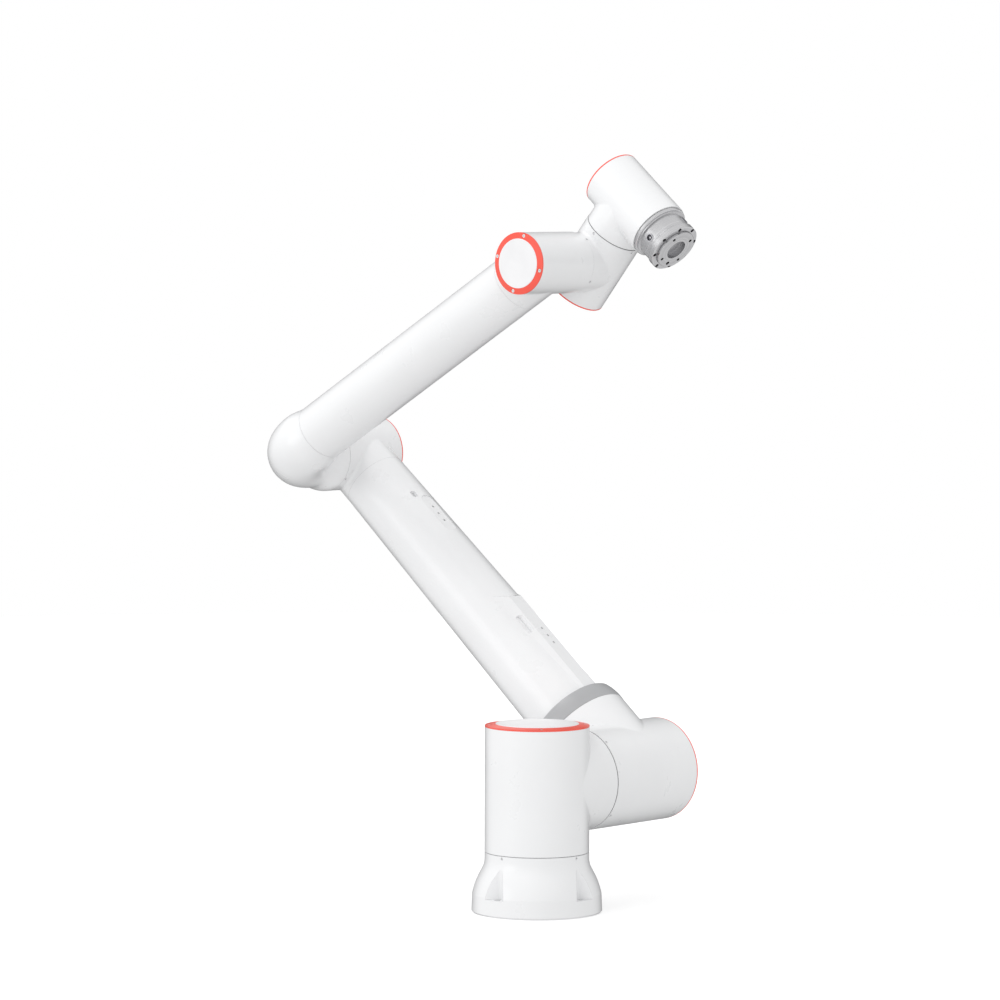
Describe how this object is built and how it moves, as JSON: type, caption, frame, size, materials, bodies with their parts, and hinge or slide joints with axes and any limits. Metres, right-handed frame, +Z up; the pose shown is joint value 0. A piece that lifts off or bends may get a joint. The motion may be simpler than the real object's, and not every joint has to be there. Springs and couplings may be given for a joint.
{
  "type": "collaborative robot arm",
  "caption": "Six-axis collaborative robot arm with a bolted round foot, two tubular links, coloured end-cap rings and a metal tool flange.",
  "frame": {"origin": "centre of the foot's mounting face, on the base turning axis", "axes": "+Z up along the base turning axis; the four mounting bolts lie on the diagonals of X and Y; the cable inlet faces +Y"},
  "size_m": [0.6363, 0.6771, 1.0972],
  "materials": {
    "shell_paint": "satin gloss white paint",
    "cap_ring_coral": "satin coral red",
    "cap_plate": "satin white",
    "screw_steel": "plated steel",
    "seal_rubber": "matte grey",
    "motor_steel": "machined",
    "gear_steel": "ground",
    "collar_grey": "satin grey",
    "flange_alloy": "machined satin",
    "connector_shell": "dark plated"
  },
  "bodies": {
    "base": {"base_casting": "shell_paint", "base_connector": "connector_shell", "base_seam_screws": "screw_steel", "j1_output_hub": "gear_steel"},
    "shoulder": {"j1_cap_disc": "cap_plate", "j1_cap_ring": "cap_ring_coral", "j1_cap_screws": "screw_steel", "j1_motor": "motor_steel", "j1_seal": "seal_rubber", "j1_wave_gear": "gear_steel", "j2_output_hub": "gear_steel", "shoulder_housing": "shell_paint"},
    "upper_arm": {"elbow_housing": "shell_paint", "j2_cap_disc": "cap_plate", "j2_cap_ring": "cap_ring_coral", "j2_cap_screws": "screw_steel", "j2_motor": "motor_steel", "j2_seal": "seal_rubber", "j2_wave_gear": "gear_steel", "j3_cap_disc": "cap_plate", "j3_cap_ring": "cap_ring_coral", "j3_cap_screws": "screw_steel", "j3_motor": "motor_steel", "j3_seal": "seal_rubber", "j3_wave_gear": "gear_steel", "shoulder_collar": "collar_grey", "upper_arm_root_housing": "shell_paint", "upper_arm_seam_screws": "screw_steel", "upper_arm_tube": "shell_paint"},
    "forearm": {"elbow_shell": "shell_paint", "forearm_tube": "shell_paint", "j3_output_hub": "gear_steel", "j4_cap_disc": "cap_plate", "j4_cap_ring": "cap_ring_coral", "j4_cap_screws": "screw_steel", "j4_motor": "motor_steel", "j4_seal": "seal_rubber", "j4_wave_gear": "gear_steel", "wrist_1_housing": "shell_paint"},
    "wrist_1": {"j4_output_hub": "gear_steel", "j5_cap_disc": "cap_plate", "j5_cap_ring": "cap_ring_coral", "j5_cap_screws": "screw_steel", "j5_motor": "motor_steel", "j5_seal": "seal_rubber", "j5_wave_gear": "gear_steel", "wrist_2_housing": "shell_paint", "wrist_2_seam_screws": "screw_steel"},
    "wrist_2": {"j5_output_hub": "gear_steel", "j6_cap_disc": "cap_plate", "j6_cap_ring": "cap_ring_coral", "j6_cap_screws": "screw_steel", "j6_motor": "motor_steel", "j6_wave_gear": "gear_steel", "wrist_3_housing": "shell_paint"},
    "flange": {"flange_screws": "screw_steel", "tool_connectors": "connector_shell", "tool_flange": "flange_alloy", "tool_plate": "flange_alloy"}
  },
  "joints": [
    {"name": "j1_base_turn", "type": "hinge", "parent": "base", "child": "shoulder", "pos_m": [0, 0, 0], "axis": [0, 0, 1], "range_deg": [-175, 175]},
    {"name": "j2_shoulder", "type": "hinge", "parent": "shoulder", "child": "upper_arm", "pos_m": [0.13031, 0.13828, 0.184], "axis": [-0.6858, -0.7278, 0], "range_deg": [-224.5, 125.5]},
    {"name": "j3_elbow", "type": "hinge", "parent": "upper_arm", "child": "forearm", "pos_m": [-0.25708, 0.50333, 0.63861], "axis": [-0.6858, -0.7278, 0], "range_deg": [-51.4, 268.6]},
    {"name": "j4_wrist_bend", "type": "hinge", "parent": "forearm", "child": "wrist_1", "pos_m": [0.00942, 0.05295, 0.93955], "axis": [-0.6858, -0.7278, 0], "range_deg": [-194.9, 155.1]},
    {"name": "j5_wrist_turn", "type": "hinge", "parent": "wrist_1", "child": "wrist_2", "pos_m": [0.09104, 0.13956, 0.93955], "axis": [0.46, -0.4335, 0.7749], "range_deg": [-22.3, 207.7]},
    {"name": "j6_flange_turn", "type": "hinge", "parent": "wrist_2", "child": "flange", "pos_m": [0.14347, 0.09014, 1.02789], "axis": [0.5311, -0.5652, -0.6313], "range_deg": [-175, 175]}
  ]
}
